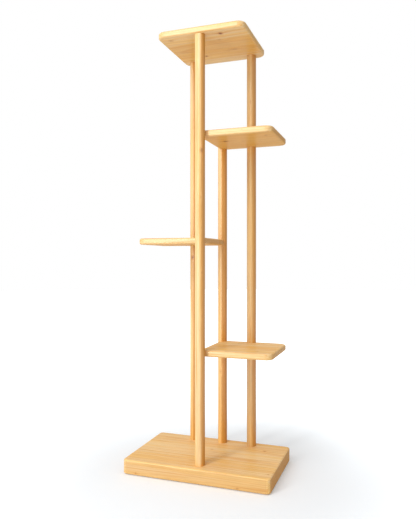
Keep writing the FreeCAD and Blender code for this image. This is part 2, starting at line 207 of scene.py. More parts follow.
def new_group(name, inputs, outputs):
    """Start a node group. Inputs are names with defaults, and outputs are names of plain values."""
    tree = bpy.data.node_groups.new(name, "ShaderNodeTree")
    for label, value in inputs.items():
        socket = tree.interface.new_socket(name=label, in_out="INPUT", socket_type=SOCKETS[type(value)])
        socket.default_value = value
    for label in outputs:
        tree.interface.new_socket(name=label, in_out="OUTPUT", socket_type="NodeSocketFloat")
    wires = Wires(tree)
    return wires, wires.node("NodeGroupInput").outputs


def close_group(wires, results):
    """Lead the finished values to the group's outputs."""
    wires.node("NodeGroupOutput", results)
    print("Group", wires.tree.name, "has", len(wires.tree.nodes), "nodes")
    return wires.tree


def use_group(wires, tree, inputs):
    """Place a group in another tree and give its outputs."""
    return wires.node("ShaderNodeGroup", inputs, node_tree=tree).outputs


def new_material(name):
    """Start a material with an empty Principled shader, and give its wires and the shader."""
    material = bpy.data.materials.new(name)
    material.use_nodes = True
    material.node_tree.nodes.clear()
    wires = Wires(material.node_tree)
    shader = wires.node("ShaderNodeBsdfPrincipled")
    wires.node("ShaderNodeOutputMaterial", {"Surface": shader.outputs[0]})
    return material, wires, shader


print("A group's inputs are", " or ".join(SOCKETS.values()))

# %% [markdown]
# ## The floor and the white room
#
# The stand is in a white studio. A real one is a paper sweep that curves up behind the object. Here
# the floor is a flat disc and the world is the wall. Both should look white, but more light on the
# floor would burn out the pale wood too. So the light stays plain, and only rays from the camera, or
# rays mirrored in the lacquer, see the whiter room: Light Path tells them apart. On the stand
# itself, the room's light falls from every side and a little more from its ceiling. Near the stand
# the floor adds little light of its own, so the stand's soft shadow stays, and it fades to
# nearly full white further out.

# %% Floor and room
FLOOR_RADIUS = 9.0
FLOOR_RINGS, FLOOR_SIDES = 6, 64
PAPER_WHITE = (0.835, 0.860, 0.885, 1)  # a little cool, because the pine throws warm light on the paper
PAPER_GLOW = (0.92, 0.97, 1.0, 1)       # the colour of the white that is added
SHADOW_MIDDLE = (0.02, -0.10, 0.0)      # the place round which the lamps' shadow is kept most
SHADOW_NEAR, SHADOW_FAR = 0.25, 1.0     # from there, where the added white starts and is full
ADDED_NEAR, ADDED_FAR = 0.15, 0.9       # the added white at these distances
ROOM_LIGHT = 0.36                       # the room's light on the stand from every side
ROOM_ABOVE = 0.35                       # what its ceiling adds straight overhead


def seen_or_mirrored(wires):
    """1 for camera rays and for mirrored or transmitted rays, and 0 for light that falls on things."""
    path = wires.node("ShaderNodeLightPath").outputs
    mirrored = wires.math("MAXIMUM", path["Is Glossy Ray"], path["Is Transmission Ray"])
    return wires.math("MAXIMUM", path["Is Camera Ray"], mirrored)


def round_steps(sides):
    """Equal steps round a circle: the number of each, the number of the next, and its angle."""
    here = np.arange(sides)
    return here, (here + 1) % sides, here * 2 * pi / sides


def disc(name, radius, rings, sides):
    """A flat disc: the point at share s along a radius and angle a is radius*s*(cos a, sin a, 0)."""
    here, after, angles = round_steps(sides)
    share, angle = np.meshgrid(np.linspace(0, 1, rings + 1)[1:], angles, indexing="ij")
    rim = np.stack([radius * share * np.cos(angle), radius * share * np.sin(angle), 0 * share], axis=-1)
    places = np.vstack([np.zeros((1, 3)), rim.reshape(-1, 3)])
    faces = np.stack([0 * here, 1 + here, 1 + after], axis=-1).tolist()
    for ring in range(1, rings):
        inner, outer = 1 + (ring - 1) * sides, 1 + ring * sides
        faces += np.stack([inner + here, outer + here, outer + after, inner + after], axis=-1).tolist()
    mesh = bpy.data.meshes.new(name)
    mesh.from_pydata(places.tolist(), [], faces)
    return put_in_scene(name, mesh)


floor = disc("studio_floor", FLOOR_RADIUS, FLOOR_RINGS, FLOOR_SIDES)
paper, wires, shader = new_material("white paper sweep")
from_middle = wires.length(wires.vector("SUBTRACT", wires.coordinate(), SHADOW_MIDDLE))
added = wires.step(from_middle, SHADOW_NEAR, SHADOW_FAR, ADDED_NEAR, ADDED_FAR)
wires.fill(shader, {
    "Base Color": PAPER_WHITE, "Roughness": 0.8, "Specular IOR Level": 0.1, "Emission Color": PAPER_GLOW,
    "Emission Strength": wires.times(seen_or_mirrored(wires), added)})
floor.data.materials.append(paper)

room = bpy.data.worlds.new("white room")
room.use_nodes = True
wires = Wires(room.node_tree)
upward = wires.parts(wires.coordinate("Generated"))[2]
on_things = wires.math("MULTIPLY_ADD", wires.math("MAXIMUM", upward, 0), ROOM_ABOVE, ROOM_LIGHT)
strength = wires.step(seen_or_mirrored(wires), 0, 1, on_things, 1)
wires.fill(room.node_tree.nodes["Background"], {"Color": (1, 1, 1, 1), "Strength": strength})
bpy.context.scene.world = room
bpy.context.scene.view_settings.view_transform = "Standard"
print("Floor radius", FLOOR_RADIUS, "m, room light", ROOM_LIGHT)

# %% [markdown]
# ## The lamps
#
# Two soft boxes stand in front of the stand, a little to its left. The key box hangs high and lights
# the tops. The strip box is narrow, tall and low: its mirror image lies in the shelves' front edges
# and down the left of each post, which makes these the palest places, helped there by pale sapwood
# that is partly a painted highlight. The posts' right thirds and the right ends of the boards face
# away from both and go a deep honey brown; on the posts, dark heartwood adds painted shade to that.
# A lamp further to the side would do the same, but each post would throw a hard shadow on the shelf
# beside it. An area lamp's power spreads over a half sphere, so the power that lights a white card at
# a distance d to a given level goes with d squared.

# %% Lamps
CARD_LEVEL = pi * pi        # watts for each square metre of distance squared, for a white card at level 1
AIM = (0.0, 0.0, 0.62)      # the middle of the stand


def soft_box(name, place, width, height, level):
    """An area lamp that faces the stand's middle and lights a card there to the given level."""
    lamp = bpy.data.lights.new(name, "AREA")
    lamp.shape = "RECTANGLE"
    lamp.size = width
    lamp.size_y = height
    toward = np.array(AIM) - np.array(place)
    lamp.energy = level * CARD_LEVEL * float(toward @ toward)
    made = put_in_scene(name, lamp)
    made.location = place
    made.rotation_euler = Vector(toward).to_track_quat("-Z", "Y").to_euler()


LAMPS = {
    "key_soft_box": ((-0.48, -1.94, 2.42), 1.5, 1.5, 0.42),
    "strip_box": ((-0.92, -2.18, 0.90), 0.32, 1.5, 0.38),
}
for name, (place, width, height, level) in LAMPS.items():
    soft_box(name, place, width, height, level)
print("Lamps:", ", ".join(LAMPS))

# %% [markdown]
# ## Growth rings
#
# A pine board is cut from a trunk, so its figure is a slice through rings round a pith. A flat
# wood picture wrapped round a board would break at each edge. A solid pattern doesn't:
# the rings are worked out in space, run through the board and come out as long flames on the faces
# and as arcs on the end grain.
#
# In a frame whose X runs along the grain, a ring number is the distance from the pith over the ring
# spacing. Slow noise bends the trunk a little. Within one year the wood darkens slowly to late wood
# and then stops at once, so the shade follows the fraction of the ring number. Wood nearer the pith
# than the heart radius is heartwood, which is redder than the cream sapwood round it. Shelf
# boards are glued up from staves: the place across the board gives a stave's number, and random
# numbers for it move its pith, so that each stave looks like another piece of the tree.

# %% Node group: pine figure
HEART_FADE = 0.003                      # half the width of the border between heartwood and sapwood
GLUE_FULL, GLUE_ENDS = 0.0001, 0.0004   # from a joint, where its line is full and where it ends
STAVE_SHIFT = 7.0                       # metres along the trunk that luck moves a stave's figure, at most
BENDS_ALONG, BENDS_ACROSS = 2.6, 9      # bends of the trunk in one metre
YEAR_DRIFT, DRIFT_RATE = 2.6, 0.31      # ring numbers that growth drifts by, and its waves in one ring
LATE_STARTS, LATE_STOPS = 0.30, 0.93    # the part of a year in which the wood darkens
FAINTEST_YEAR = 0.35                    # its late wood, where the strongest year has 1


def make_pine_figure():
    """Rings, heartwood, fibres, lines, streaks, flecks, stave tone and glue lines of solid pine."""
    defaults = {"Vector": (0.0, 0.0, 0.0), "Seed": 0.0, "Pith Across": 0.0, "Pith Depth": 0.09,
                "Pith Luck": 0.05, "Ring Spacing": 0.004, "Heart Radius": 0.03, "Bend": 0.008,
                "Stave Width": 0.055, "Stave Start": 0.0, "Push": 0.0}
    results = ("Late Wood", "Heartwood", "Fibre", "Line", "Streak", "Fleck", "Stave", "Glue Line")
    wires, given = new_group("pine figure", defaults, results)
    along, across, deep = wires.parts(given["Vector"])

    # Staves.
    place = wires.math("DIVIDE", wires.math("SUBTRACT", across, given["Stave Start"]), given["Stave Width"])
    luck = wires.chance(wires.add(wires.math("FLOOR", place), given["Seed"]))
    to_joint = wires.times(wires.math("PINGPONG", place, 0.5), given["Stave Width"])
    glue = wires.step(to_joint, GLUE_FULL, GLUE_ENDS, 1, 0)

    # Distance from the stave's own pith.
    seeded_along = wires.add(along, wires.times(luck[0], STAVE_SHIFT), given["Seed"])
    side = wires.math("SUBTRACT", across, wires.spread(luck[1], given["Pith Luck"], given["Pith Across"]))
    drop = wires.math("SUBTRACT", deep, wires.spread(luck[2], given["Pith Luck"], given["Pith Depth"]))
    radius = wires.length(wires.point(0, side, drop))
    trunk = wires.point(wires.times(seeded_along, BENDS_ALONG), wires.times(across, BENDS_ACROSS),
                        wires.times(deep, BENDS_ACROSS))
    wobble = wires.times(wires.math("SUBTRACT", wires.noise(trunk), 0.5), given["Bend"])
    distance = wires.add(radius, wobble, given["Push"])
    past_heart = wires.math("SUBTRACT", distance, given["Heart Radius"])
    heartwood = wires.step(past_heart, -HEART_FADE, HEART_FADE, 1, 0)

    # Late wood within each ring, with rings of uneven width and strength.
    number = wires.math("DIVIDE", distance, given["Ring Spacing"])
    uneven = wires.noise_along(wires.add(wires.times(number, DRIFT_RATE), given["Seed"]))
    number = wires.math("MULTIPLY_ADD", uneven, YEAR_DRIFT, number)
    year = wires.math("FRACT", number)
    rise = wires.step(year, LATE_STARTS, LATE_STOPS)
    fall = wires.step(year, LATE_STOPS, 1.0, 1, 0)
    luck_of_year = wires.chance(wires.add(wires.math("FLOOR", number), given["Seed"]))[0]
    strength = wires.math("MULTIPLY_ADD", luck_of_year, 1 - FAINTEST_YEAR, FAINTEST_YEAR)
    late = wires.times(rise, rise, fall, strength)

    # Fibres, lines, broad streaks and short flecks, all drawn out along the grain.
    def drawn_out(stretch, width, detail, roughness):
        """Noise whose features are stretch metres long and width metres wide."""
        scaled = wires.point(wires.math("DIVIDE", seeded_along, stretch), wires.math("DIVIDE", across, width),
                             wires.math("DIVIDE", deep, width))
        return wires.noise(scaled, detail, roughness)

    fibre = drawn_out(0.045, 0.0009, 2, 0.6)
    line = drawn_out(0.20, 0.0038, 2, 0.6)
    streak = drawn_out(0.50, 0.020, 3, 0.55)
    fleck = wires.times(wires.step(drawn_out(0.011, 0.0016, 1, 0.4), 0.70, 0.80),
                        wires.step(drawn_out(0.09, 0.03, 1, 0.5), 0.45, 0.62))
    return close_group(wires, {"Late Wood": late, "Heartwood": heartwood, "Fibre": fibre, "Line": line,
                               "Streak": streak, "Fleck": fleck, "Stave": luck[0], "Glue Line": glue})


pine_figure = make_pine_figure()

# %% [markdown]
# ## Knots
#
# A knot is a branch that the trunk grew round. It is a small dark disc with a paler, reddish rim,
# and the rings beside it swing out of its way. So one knot gives three values: its heart, its rim
# with a tail along the grain, and a push that is added to the distance from the pith before the
# rings are drawn. Each is a function of the distance from the knot's middle, measured in its own
# radii along the grain, across it and into the wood. The push falls off as a bell curve.

# %% Node group: knot
KNOT_RAGGED = 0.7             # radii over which noise moves the knot's outline
TAIL_SHAPE = (5.0, 0.8, 1.0)  # the tail's radii, in the knot's own
TAIL_STRENGTH = 0.75
BELL_BASE, BELL_RATE = 2.718, -0.12


def make_knot():
    """Heart, rim and push of one knot. Its sizes are radii in metres."""
    defaults = {"Vector": (0.0, 0.0, 0.0), "Centre": (0.0, 0.0, 0.0),
                "Radii": (0.004, 0.003, 0.01), "Push": 0.004}
    wires, given = new_group("knot", defaults, ("Heart", "Rim", "Push"))
    away = wires.vector("SUBTRACT", given["Vector"], given["Centre"])
    scaled = wires.vector("DIVIDE", away, given["Radii"])
    ragged = wires.noise(given["Vector"], 2, 0.6, 420)
    distance = wires.spread(ragged, KNOT_RAGGED, wires.length(scaled))
    heart = wires.step(distance, 0.55, 1.0, 1, 0)
    inner = wires.step(distance, 0.65, 1.0)
    outer = wires.step(distance, 1.0, 1.6, 1, 0)
    drawn = wires.length(wires.vector("DIVIDE", scaled, TAIL_SHAPE))
    tail = wires.times(wires.step(drawn, 0.3, 1.3, 1, 0), wires.step(ragged, 0.38, 0.58), TAIL_STRENGTH)
    rim = wires.math("MAXIMUM", wires.times(inner, outer), tail)
    near = wires.math("POWER", BELL_BASE, wires.times(BELL_RATE, distance, distance))
    return close_group(wires, {"Heart": heart, "Rim": rim, "Push": wires.times(near, given["Push"])})


knot = make_knot()

# %% [markdown]
# ## Eased edges, and what hands do to them
#
# The boards' edges are rounded, and the lacquer is thinnest there. Handling rubs it
# paler and duller in patches. An edge could be found by the Bevel node or by Pointiness, but the
# rounding is known: on a top or underside the normal points straight up or down, on a side it lies
# level, and only on the rounding is it in between. So the product of the two squares, times four, is
# 1 in the middle of an eased edge and 0 on every flat face.

# %% Node group: rubbed edge
WORN_FROM, WORN_THROUGH = 0.85, 0.9  # noise at which an edge starts to be rubbed, and is rubbed through
WORN_EARLIER = 0.45                  # how much sooner it starts where the amount is 1


def make_rubbed_edge():
    """How much the lacquer is rubbed off: 1 in the worst patches of an eased edge, and 0 elsewhere."""
    wires, given = new_group("rubbed edge", {"Vector": (0.0, 0.0, 0.0), "Amount": 0.5}, ("Edge", "Rubbed"))
    upright = wires.parts(wires.coordinate("Normal"))[2]
    squared = wires.times(upright, upright)
    edge = wires.times(squared, wires.math("SUBTRACT", 1, squared), 4)
    patches = wires.noise(given["Vector"], 3, 0.65, 38)
    starts = wires.math("SUBTRACT", WORN_FROM, wires.times(given["Amount"], WORN_EARLIER))
    worn = wires.step(patches, starts, WORN_THROUGH)
    return close_group(wires, {"Edge": edge, "Rubbed": wires.times(edge, worn)})


rubbed_edge = make_rubbed_edge()

# %% [markdown]
# ## Lacquer
#
# Two thin coats of satin lacquer lie on sanded pine. They fill the wood but don't hide it:
# hard late wood still stands a few hundredths of a millimetre proud, the film has a faint ripple
# from the roller, and dust has dried into it here and there. The group gives a height in metres
# for a Bump node, a roughness that wanders a little, and the weight of the coat, which is thinner
# where it is rubbed.

# %% Node group: satin lacquer
LATE_PROUD = 0.00003        # heights in metres
FIBRE_PROUD = 0.00003
RIPPLE_TALL = 0.00005
DUST_TALL = 0.00003
CLOUD_SPREAD = 0.16         # changes of roughness
LATE_SMOOTHER = -0.05
RUBBED_ROUGHER = 0.25
RUBBED_THINNER = -0.15      # change of the coat's weight


def make_satin_lacquer():
    """Height in metres, roughness and coat weight of a thin lacquer film over grain."""
    defaults = {"Vector": (0.0, 0.0, 0.0), "Late Wood": 0.0, "Fibre": 0.5, "Rubbed": 0.0, "Roughness": 0.35,
                "Film": 0.2}
    wires, given = new_group("satin lacquer", defaults, ("Height", "Roughness", "Coat"))
    ripple = wires.noise(given["Vector"], 1, 0.5, 160)
    dust = wires.step(wires.noise(given["Vector"], 0, 0.5, 900), 0.80, 0.86)
    height = wires.add(wires.times(given["Late Wood"], LATE_PROUD), wires.times(given["Fibre"], FIBRE_PROUD),
                       wires.times(ripple, RIPPLE_TALL), wires.times(dust, DUST_TALL))
    uneven = wires.spread(wires.noise(given["Vector"], 3, 0.6, 22), CLOUD_SPREAD, given["Roughness"])
    grained = wires.math("MULTIPLY_ADD", given["Late Wood"], LATE_SMOOTHER, uneven)
    rough = wires.math("MULTIPLY_ADD", given["Rubbed"], RUBBED_ROUGHER, grained, clamp=True)
    coat = wires.math("MULTIPLY_ADD", given["Rubbed"], RUBBED_THINNER, given["Film"], clamp=True)
    return close_group(wires, {"Height": height, "Roughness": rough, "Coat": coat})


satin_lacquer = make_satin_lacquer()

# %% [markdown]
# ## One board, one piece of pine
#
# No two pieces of the stand come from the same place in the tree. So each has its own material with
# its own seed, pith, tone and knots, all made by one function from the groups above. Only the frame
# of the grain differs: it runs along X in the boards and along Z in the posts. End grain drinks
# more lacquer, so faces that look along the grain are darker.

# %% Pine
EARLY_WOOD = (0.930, 0.585, 0.205, 1)
LATE_WOOD = (0.740, 0.330, 0.060, 1)
HEARTWOOD = (0.820, 0.405, 0.055, 1)
# the posts' heartwood, so dark that on their right sides it is painted shade as well as wood
HEARTWOOD_AND_PAINTED_SHADE = (0.610, 0.255, 0.025, 1)
HONEY = (0.870, 0.480, 0.120, 1)
CREAM = (0.940, 0.695, 0.390, 1)
FLECK_BROWN = (0.500, 0.220, 0.060, 1)
GLUE_BROWN = (0.560, 0.300, 0.110, 1)
END_GRAIN = (0.600, 0.270, 0.060, 1)
RAW_PINE = (0.930, 0.720, 0.460, 1)
KNOT_HEART = (0.220, 0.060, 0.006, 1)
KNOT_RIM = (0.620, 0.220, 0.025, 1)
STREAK_TONE = 0.35          # how far a streak moves the tone from the piece's honey, either way
STAVE_TONE = 0.36           # how far two staves' tones lie apart, at most
COAT_ROUGHNESS = 0.33
COAT_IOR = 2.7              # above real lacquer's 1.5, so that a light coat mirrors the strip box plainly


def grain_frame(wires, grain, turn):
    """Object coordinates, and the same turned so that their X runs along the grain."""
    place = wires.coordinate()
    if grain == "X":
        grained = wires.node("ShaderNodeMapping", {"Vector": place, "Rotation": (0, 0, turn)}).outputs[0]
    else:
        x, y, z = wires.parts(place)
        grained = wires.point(z, x, y)
    return place, grained


def add_knots(wires, grained, knots, grain):
    """Join the hearts, rims and pushes of a piece's knots. A knot is (place, radii, push, darkness)."""
    heart, rim, push = 0.0, 0.0, 0.0
    for (x, y, z), radii, shove, darkness in knots:
        centre = (x, y, z) if grain == "X" else (z, x, y)
        found = use_group(wires, knot, {"Vector": grained, "Centre": centre, "Radii": radii, "Push": shove})
        heart = wires.math("MAXIMUM", heart, wires.times(found["Heart"], darkness))
        rim = wires.math("MAXIMUM", rim, wires.times(found["Rim"], darkness))
        push = wires.add(push, found["Push"])
    return heart, rim, push


def pine(name, seed, grain="X", turn=0.0, pith=(0.0, 0.09), luck=0.05, heart_radius=0.03, spacing=0.0042,
         stave=(0.055, 0.0), bend=0.008, knots=(), honey=0.5, rings=0.5, heartwood=HEARTWOOD,
         redness=0.70, soaked_ends=0.5, film_weight=0.20, roughness=0.35, rubbed=0.5):
    """Lacquered pine: one piece of wood with its own rings, staves, streaks, knots and tone.

    The pith is a place across and into the wood, and a stave is its width and where the first one starts.
    """
    material, wires, shader = new_material(name)
    place, grained = grain_frame(wires, grain, turn)
    heart, rim, push = add_knots(wires, grained, knots, grain)
    figure = use_group(wires, pine_figure, {
        "Vector": grained, "Seed": seed, "Pith Across": pith[0], "Pith Depth": pith[1], "Pith Luck": luck,
        "Heart Radius": heart_radius, "Ring Spacing": spacing, "Bend": bend, "Stave Width": stave[0],
        "Stave Start": stave[1], "Push": push})
    edge = use_group(wires, rubbed_edge, {"Vector": place, "Amount": rubbed})

    # The ground goes from cream over early wood to honey, by streak and by stave.
    tone = wires.add(wires.step(figure["Streak"], 0.35, 0.68, honey - STREAK_TONE, honey + STREAK_TONE),
                     wires.math("MULTIPLY_ADD", figure["Stave"], STAVE_TONE, -STAVE_TONE / 2))
    colour = wires.mix(wires.step(tone, 0.5, 1.0, 0, 0.75), EARLY_WOOD, HONEY)
    colour = wires.mix(wires.step(tone, 0.0, 0.5, 0.55, 0), colour, CREAM)

    # The figure lies on the ground: heartwood, rings, lines, fibres, flecks, glue and knots.
    colour = wires.mix(wires.times(figure["Heartwood"], redness), colour, heartwood)
    colour = wires.mix(wires.times(figure["Late Wood"], rings), colour, LATE_WOOD)
    colour = wires.mix(wires.step(figure["Line"], 0.50, 0.70, 0, 0.65), colour, LATE_WOOD)
    fibres = wires.step(figure["Fibre"], 0.25, 0.75, 0.90, 1.06)
    colour = wires.mix(1.0, colour, wires.point(fibres, fibres, fibres), "MULTIPLY")
    colour = wires.mix(wires.times(figure["Fleck"], 0.55), colour, FLECK_BROWN)
    colour = wires.mix(wires.times(figure["Glue Line"], 0.35), colour, GLUE_BROWN)
    colour = wires.mix(wires.times(wires.math("MAXIMUM", rim, heart), 0.85), colour, KNOT_RIM)
    colour = wires.mix(wires.times(heart, heart), colour, KNOT_HEART)

    # End grain and rubbed edges come last.
    ends = wires.parts(wires.coordinate("Normal"))["XYZ".index(grain)]
    end_grain = wires.step(wires.math("ABSOLUTE", ends), 0.75, 1.0)
    colour = wires.mix(wires.times(end_grain, soaked_ends), colour, END_GRAIN)
    colour = wires.mix(wires.times(edge["Rubbed"], 0.5), colour, RAW_PINE)

    film = use_group(wires, satin_lacquer, {
        "Vector": place, "Late Wood": figure["Late Wood"], "Fibre": figure["Fibre"],
        "Rubbed": edge["Rubbed"], "Roughness": roughness, "Film": film_weight})
    wires.fill(shader, {
        "Base Color": colour, "Roughness": film["Roughness"], "Coat Weight": film["Coat"],
        "Coat Roughness": COAT_ROUGHNESS, "Coat IOR": COAT_IOR, "Specular IOR Level": 0.0,
        "Normal": wires.bump(film["Height"])})
    return material


def finish_node(name, material):
    """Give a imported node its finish."""
    nodes[name].data.materials.clear()
    nodes[name].data.materials.append(material)


def finish_in_pine(name, **figure):
    """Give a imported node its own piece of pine."""
    finish_node(name, pine(f"lacquered pine, {name.replace('_', ' ')}", **figure))


# %% [markdown]
# ## The boards
#
# The base is a thick board with a calm figure, cut well outside the heartwood. The shelves are
# thinner. A shelf's pith lies about 20 cm under it and its heart radius just reaches into the board,
# so the middle of its underside is heartwood and its front edge is pale sapwood. That pale front edge
# is partly a painted highlight, where the strip box is mirrored. The top one has the stand's boldest
# knot on its underside, right of the front post. Knots are placed in the frame, in metres, so each
# one sits in its board from every side.

# %% Boards
STAVE_LUCK = 0.014          # metres, by which the staves' piths differ
# The shelves' heart radii keep their front edges pale sapwood, which is partly a painted highlight where the
# strip box is mirrored.
BOARDS = {
    "base_board": dict(seed=3.0, pith=(0.02, -0.11), stave=(0.090, -0.125), spacing=0.0050,
                       honey=0.22, rings=0.6, soaked_ends=0.75, knots=[
        ((0.143, 0.063, 0.040), (0.0035, 0.0025, 0.006), 0.003, 0.55),
        ((-0.002, 0.030, 0.040), (0.0040, 0.0025, 0.006), 0.003, 0.50),
        ((0.191, -0.095, 0.040), (0.0030, 0.0022, 0.006), 0.002, 0.60),
        ((-0.163, -0.125, 0.008), (0.0030, 0.006, 0.0020), 0.002, 0.60),
        ((0.119, -0.125, 0.007), (0.0040, 0.006, 0.0022), 0.002, 0.50)]),
    "top_shelf": dict(seed=11.0, pith=(0.01, 0.960), heart_radius=0.219, stave=(0.060, -0.105),
                      honey=0.25, redness=0.55, soaked_ends=0.2, knots=[
        ((0.060, -0.080, 1.167), (0.0058, 0.0058, 0.010), 0.005, 1.00),
        ((-0.028, 0.058, 1.167), (0.0045, 0.0050, 0.008), 0.003, 0.75),
        ((-0.081, -0.078, 1.167), (0.0065, 0.0055, 0.008), 0.004, 0.38),
        ((0.044, -0.042, 1.167), (0.0065, 0.0055, 0.008), 0.004, 0.38),
        ((0.065, 0.034, 1.167), (0.0095, 0.0055, 0.008), 0.004, 0.35)]),
    "upper_right_shelf": dict(seed=17.0, pith=(0.01, 0.700), heart_radius=0.215, stave=(0.065, -0.080),
                              honey=0.25, knots=[
        ((0.049, -0.003, 0.902), (0.0085, 0.0065, 0.010), 0.004, 0.75),
        ((0.171, -0.039, 0.902), (0.0050, 0.0050, 0.008), 0.003, 0.45)]),
    "middle_left_shelf": dict(seed=23.0, pith=(0.01, 0.420), heart_radius=0.206, stave=(0.062, -0.080),
                              honey=0.15, knots=[
        ((-0.120, 0.020, 0.636), (0.0050, 0.0040, 0.008), 0.004, 0.45)]),
    "lower_right_shelf": dict(seed=31.0, pith=(0.01, 0.120), heart_radius=0.210, stave=(0.058, -0.080),
                              honey=0.30, knots=[
        ((0.150, -0.045, 0.338), (0.0040, 0.0030, 0.008), 0.003, 0.40)]),
}
for name, figure in BOARDS.items():
    finish_in_pine(name, luck=STAVE_LUCK, **figure)
print("Boards:", ", ".join(BOARDS))

# %% [markdown]
# ## The posts
#
# A post is turned from one straight-grained stick, so its figure runs up it in long lines, and it has
# no glue lines. A stave wider than the post gives that. The pith lies a few centimetres to the right
# of each post, so its right side is deep heartwood and its left side is pale sapwood. This split is
# also painted light: the dark heartwood is painted shade on the side away from the lamps, and the
# pale sapwood is a painted highlight where the strip box is mirrored.

# %% Posts
ONE_STAVE = (4.0, -2.0)
# On the posts the deep heartwood colour is painted shade as well as wood.
STICK = dict(grain="Z", luck=0.0, stave=ONE_STAVE, spacing=0.0045, bend=0.004, rings=0.75,
             heartwood=HEARTWOOD_AND_PAINTED_SHADE, redness=0.90, film_weight=0.32, rubbed=0.35)
# Each pith and heart radius puts the heartwood's border where shade starts on the post's right: painted shade
# right of it, and a painted highlight in the pale sapwood to its left.
POSTS = {
    "front_post": dict(seed=41.0, pith=(0.050, -0.075), heart_radius=0.0450, honey=0.20, knots=[
        ((0.0156, -0.0997, 0.862), (0.0075, 0.0046, 0.0046), 0.002, 0.65),
        ((0.0134, -0.1017, 0.740), (0.0050, 0.0022, 0.0022), 0.002, 0.35),
        ((0.0156, -0.1007, 0.661), (0.0050, 0.0022, 0.0022), 0.002, 0.30),
        ((0.0164, -0.0997, 0.544), (0.0045, 0.0022, 0.0022), 0.002, 0.40),
        ((0.0164, -0.0997, 0.430), (0.0060, 0.0022, 0.0022), 0.002, 0.30)]),
    "rear_left_post": dict(seed=47.0, pith=(-0.050, 0.090), heart_radius=0.032, honey=0.50, knots=[
        ((-0.0820, 0.0880, 0.584), (0.0060, 0.0050, 0.0040), 0.003, 0.80)]),
    "rear_middle_post": dict(seed=53.0, pith=(0.045, 0.100), heart_radius=0.039, honey=0.35, knots=[
        ((0.0060, 0.0880, 0.250), (0.0060, 0.0030, 0.0030), 0.003, 0.40)]),
    # Its very pale tone is partly a painted highlight, making up for the top shelf's shadow on its upper end.
    "rear_right_post": dict(seed=59.0, pith=(0.130, 0.090), heart_radius=0.0295, honey=0.05, knots=[
        ((0.0960, 0.0880, 1.030), (0.0060, 0.0026, 0.0026), 0.002, 0.30)]),
}
for name, figure in POSTS.items():
    finish_in_pine(name, **STICK, **figure)
print("Posts:", ", ".join(POSTS))

# %% [markdown]
# ## Plugs and pins
#
# The screws in the top shelf are sunk, and a plug of the same pine is glued over each and sanded
# flush. A plug's grain never quite lines up with the shelf's, so its frame is turned a little. The
# pins are beech: pale pink brown, with short dark dashes instead of rings.

# %% Plugs and pins
DASH_LONG, DASH_WIDE = 0.0030, 0.0004
BEECH_PINK = (0.66, 0.42, 0.27, 1)
BEECH_PALE = (0.74, 0.50, 0.33, 1)
BEECH_DASH = (0.40, 0.21, 0.11, 1)
PLUG_TURN = radians(24)


def beech(name, seed):
    """Sanded beech along Y: a pink brown ground with short dark dashes."""
    material, wires, shader = new_material(name)
    place = wires.coordinate()
    x, y, z = wires.parts(place)
    drawn = wires.point(wires.math("DIVIDE", wires.add(y, seed), DASH_LONG),
                        wires.math("DIVIDE", x, DASH_WIDE), wires.math("DIVIDE", z, DASH_WIDE))
    dash = wires.step(wires.noise(drawn, 1), 0.58, 0.68)
    cloud = wires.noise(place, 2, 0.5, 90)
    ground = wires.mix(cloud, BEECH_PINK, BEECH_PALE)
    wires.fill(shader, {"Base Color": wires.mix(wires.times(dash, 0.7), ground, BEECH_DASH),
                        "Roughness": wires.step(cloud, 0.2, 0.8, 0.50, 0.62)})
    return material


finish_in_pine("top_plugs", seed=71.0, pith=(0.0, 1.22), spacing=0.0022, turn=PLUG_TURN,
               stave=ONE_STAVE, honey=0.75, rings=0.7, rubbed=0.0)
finish_node("shelf_pins", beech("beech, shelf pins", seed=5.0))
print("Plugs of pine, turned by", round(PLUG_TURN, 3), "radians, and pins of beech")

# %% [markdown]
# ## Turned pieces
#
# Felt pads and screws are round, so each is a profile carried round an axis. The surface has two
# parameters: the place along the profile and the angle. `turned` works out all places at once from
# a profile of radii and heights, lets a function change them, and closes both ends with a
# single point, so the shell is watertight. The Spin tool does the same by hand, but it leaves doubled
# points to merge, and a screw's thread would need a second tool.

# %% Turned surfaces
def profile_points(corners, steps):
    """Points along straight lines through the corners, with the given number of steps on each line."""
    lines = [np.linspace(first, last, count, endpoint=False)
             for first, last, count in zip(corners[:-1], corners[1:], steps)]
    return np.vstack(lines + [np.array(corners[-1:])])


def turned(profile, sides, shape):
    """Carry a profile of (radius, height) round Z: the place is (radius cos a, radius sin a, height).

    The profile starts and ends on the axis. The function shape changes the radius and height grids.
    """
    here, after, angles = round_steps(sides)
    radius, angle = np.meshgrid(profile[1:-1, 0], angles, indexing="ij")
    height = np.repeat(profile[1:-1, 1:2], sides, axis=1)
    radius, height = shape(radius, angle, height)
    first, last = height[0].mean(), profile[-1, 1]
    rings = np.stack([radius * np.cos(angle), radius * np.sin(angle), height], axis=-1).reshape(-1, 3)
    places = np.vstack([[0, 0, first], rings, [0, 0, last]])
    starts = 1 + sides * np.arange(len(profile) - 3)[:, None]
    quads = np.stack([starts + here, starts + after,
                      starts + sides + after, starts + sides + here], axis=-1)
    end = len(places) - 1
    start_fan = np.stack([0 * here, 1 + after, 1 + here], axis=-1)
    end_fan = np.stack([end + 0 * here, end - sides + here, end - sides + after], axis=-1)
    return places, quads.reshape(-1, 4), np.vstack([start_fan, end_fan])


def set_along(places, start, direction):
    """Move places so that their Z axis points along the direction from the start."""
    z = np.array(direction, float)
    x = np.array((0.0, 1.0, 0.0)) if abs(z[1]) < 0.5 else np.array((1.0, 0.0, 0.0))
    y = np.cross(z, x)
    return np.array(start) + places @ np.stack([x, y, z])


